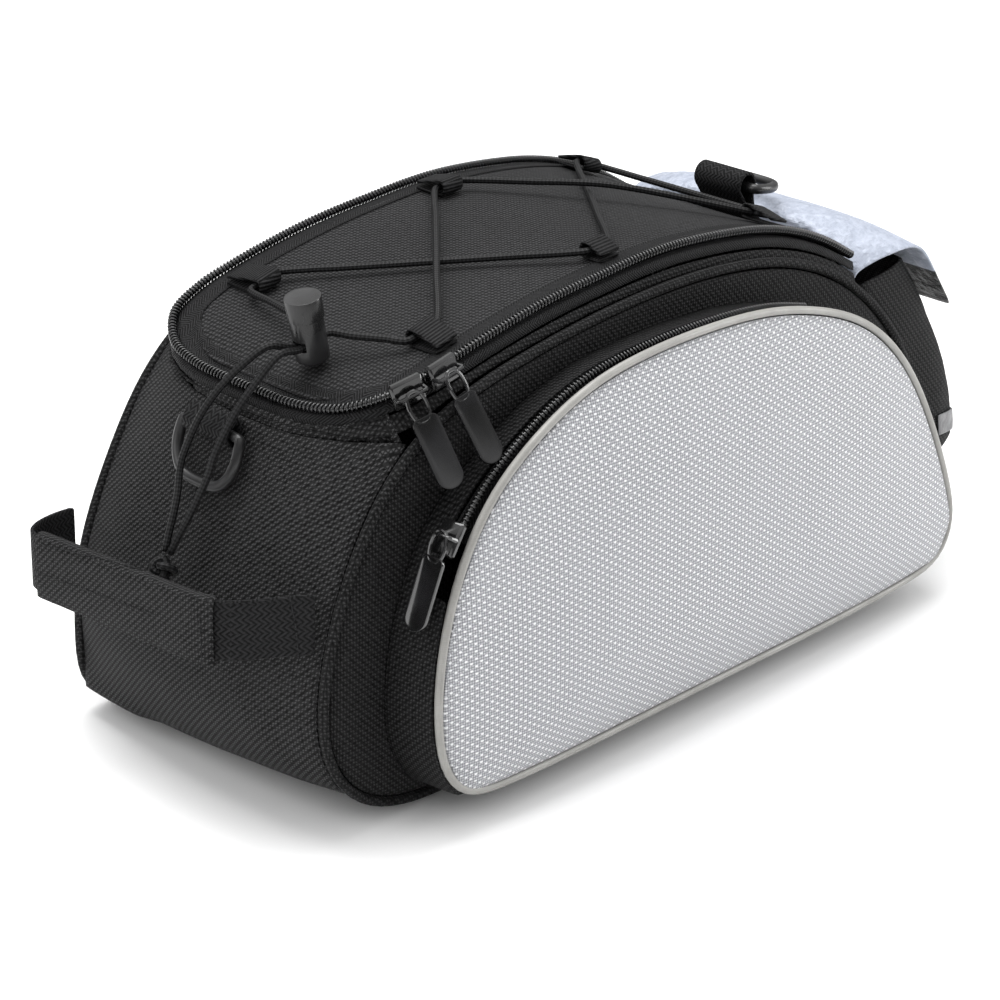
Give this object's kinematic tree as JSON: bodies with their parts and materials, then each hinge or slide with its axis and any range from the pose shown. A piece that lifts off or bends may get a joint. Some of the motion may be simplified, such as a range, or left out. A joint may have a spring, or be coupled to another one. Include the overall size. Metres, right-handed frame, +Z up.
{
  "type": "bicycle pannier",
  "caption": "Soft rear rack bag with an arched zipped lid under elastic lacing, a grey zipped pocket on each side, a carry handle and a flapped bottle pocket.",
  "frame": {"origin": "centre of the flat base, on the surface that the bag stands on", "axes": "+X runs from the carry handle end to the bottle pocket end, +Z is up, so -Y is the side seen in the picture"},
  "size_m": [0.3637, 0.179, 0.1626],
  "materials": {
    "black_cloth": "coarse woven polyester",
    "zip_tape": "herringbone tape",
    "zip_coil": "satin nylon coil",
    "zip_metal": "gloss black plating",
    "grey_cloth": "light grey dobby cloth",
    "grey_piping": "satin coated piping",
    "silver_cloth": "silver coated cloth",
    "reflective": "reflective tape",
    "black_plastic": "satin moulded",
    "webbing": "ribbed webbing",
    "elastic_cord": "braided cover"
  },
  "bodies": {
    "bag": {"side_panel_near": "black_cloth", "side_panel_far": "black_cloth", "seam_piping_near": "black_cloth", "seam_piping_far": "black_cloth", "end_panel": "black_cloth", "base_panel": "black_cloth", "rear_panel": "black_cloth", "lid_panel": "black_cloth", "lid_gusset": "black_cloth", "pocket_gusset_near": "black_cloth", "pocket_gusset_far": "black_cloth", "bottle_pocket": "black_cloth", "lid_zip_tape": "zip_tape", "pocket_zip_tape_near": "zip_tape", "pocket_zip_tape_far": "zip_tape", "lid_zip_coil": "zip_coil", "pocket_zip_coil_near": "zip_coil", "pocket_zip_coil_far": "zip_coil", "lid_slider_a": "zip_metal", "lid_slider_b": "zip_metal", "pocket_slider_near": "zip_metal", "pocket_slider_far": "zip_metal", "pocket_panel_near": "grey_cloth", "pocket_panel_far": "grey_cloth", "pocket_piping_near": "grey_piping", "pocket_piping_far": "grey_piping", "bottle_flap": "silver_cloth", "reflective_stripe": "reflective", "d_ring_front": "black_plastic", "cord_lock_body": "black_plastic", "ring_tab_front": "webbing", "ring_tab_rear": "webbing", "handle_webbing": "webbing", "handle_sleeve": "webbing", "lace_tab_near_1": "webbing", "lace_tab_near_2": "webbing", "lace_tab_near_3": "webbing", "lace_tab_far_1": "webbing", "lace_tab_far_2": "webbing", "lace_tab_far_3": "webbing", "bungee_lace": "elastic_cord", "tail_strand_a": "elastic_cord", "tail_strand_b": "elastic_cord", "tail_knot": "elastic_cord"},
    "lid_pull_front": {"lid_pull_a": "zip_metal"},
    "lid_pull_back": {"lid_pull_b": "zip_metal"},
    "near_pocket_pull": {"pocket_pull_near": "zip_metal"},
    "far_pocket_pull": {"pocket_pull_far": "zip_metal"},
    "rear_ring": {"d_ring_rear": "black_plastic"},
    "lock_button": {"cord_lock_button": "black_plastic"}
  },
  "joints": [
    {"name": "lid_pull_front_hinge", "type": "hinge", "parent": "bag", "child": "lid_pull_front", "pos_m": [-0.12285, -0.05698, 0.13804], "axis": [0.9045, -0.2959, 0.3071], "range_deg": [-95, 0]},
    {"name": "lid_pull_back_hinge", "type": "hinge", "parent": "bag", "child": "lid_pull_back", "pos_m": [-0.10973, -0.05967, 0.14218], "axis": [0.9624, -0.0409, 0.2686], "range_deg": [-95, 0]},
    {"name": "near_pocket_pull_hinge", "type": "hinge", "parent": "bag", "child": "near_pocket_pull", "pos_m": [-0.1266, -0.07356, 0.09998], "axis": [0, 1, 0], "range_deg": [0, 95]},
    {"name": "far_pocket_pull_hinge", "type": "hinge", "parent": "bag", "child": "far_pocket_pull", "pos_m": [0.04701, 0.07215, 0.13701], "axis": [0, 1, 0], "range_deg": [-95, 0]},
    {"name": "rear_ring_hinge", "type": "hinge", "parent": "bag", "child": "rear_ring", "pos_m": [0.08781, -0.002, 0.14868], "axis": [0, 1, 0], "range_deg": [-120, 0]},
    {"name": "lock_button_slide", "type": "slide", "parent": "bag", "child": "lock_button", "axis": [0.2079, 0, -0.9781], "range_m": [0, 0.002], "stiffness_N_per_m": 400}
  ]
}
